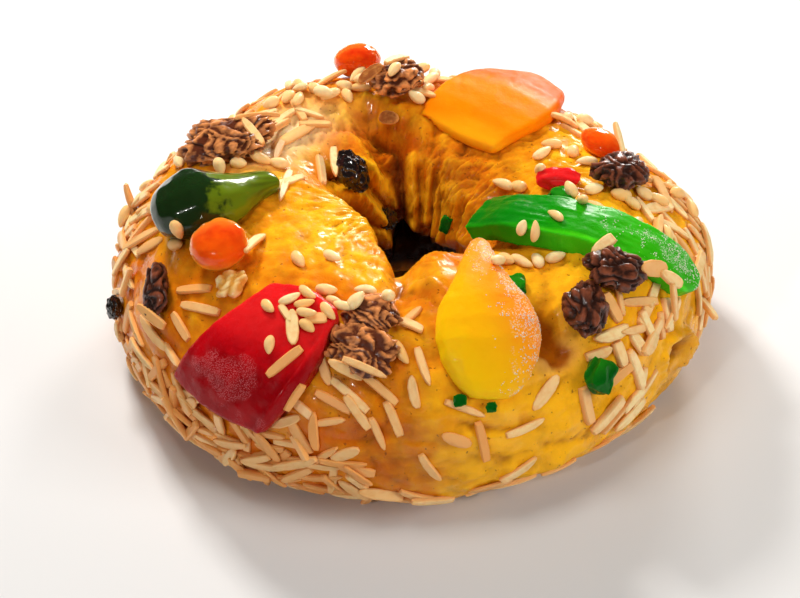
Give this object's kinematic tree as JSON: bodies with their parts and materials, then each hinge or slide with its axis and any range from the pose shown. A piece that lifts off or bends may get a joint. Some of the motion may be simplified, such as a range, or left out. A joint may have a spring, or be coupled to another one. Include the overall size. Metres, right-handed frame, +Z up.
{
  "type": "roscon de reyes",
  "caption": "Festive ring of glazed sweet bread topped with candied fruit, walnuts, slivered almonds and pine nuts.",
  "frame": {"origin": "centre of the whole in plan, on the surface it stands on, which is the flat underside of the dough", "axes": "+Z up, through the ring's hole; -Y towards the side with the red and the yellow slabs of fruit; +X to its right"},
  "size_m": [0.2312, 0.2146, 0.0898],
  "materials": {
    "dough": "egg-glazed, baked golden, satin to glossy",
    "candied_red": "sugar-glazed, sticky gloss with dull frosty patches",
    "candied_orange": "sugar-glazed, smooth satin gloss",
    "candied_yellow": "sugar-glazed, satin with sugar crust at one edge",
    "candied_green": "sugar-glazed, wet gloss with sugar frost",
    "candied_fig": "sugar-glazed whole fig, high gloss",
    "candied_cherry": "sugar-glazed, high gloss, slightly clear",
    "raisin": "wrinkled black skin, glazed",
    "walnut": "toasted walnut kernel, matt with satin ridges",
    "almond": "toasted slivered almond, satin",
    "pine_nut": "toasted pine nut, satin"
  },
  "bodies": {
    "root": {"cherry_back": "candied_cherry", "cherry_left": "candied_cherry", "cherry_right": "candied_cherry", "dough_ring": "dough", "fruit_fig": "candied_fig", "fruit_green_bit": "candied_green", "fruit_green_crown": "candied_green", "fruit_green_cube": "candied_green", "fruit_green_foot_left": "candied_green", "fruit_green_foot_right": "candied_green", "fruit_green_hole": "candied_green", "fruit_melon_strip": "candied_green", "fruit_orange_slab": "candied_orange", "fruit_pear_slab": "candied_yellow", "fruit_red_bit": "candied_red", "fruit_red_slab": "candied_red", "prune": "raisin", "raisin_hole": "raisin", "raisin_left": "raisin", "walnut_back": "walnut", "walnut_far_side": "walnut", "walnut_front_lower": "walnut", "walnut_front_upper": "walnut", "walnut_left": "walnut", "walnut_left_back": "walnut", "walnut_pale": "walnut", "walnut_right_back": "walnut", "walnut_right_lower": "walnut", "walnut_right_upper": "walnut"}
  },
  "joints": []
}
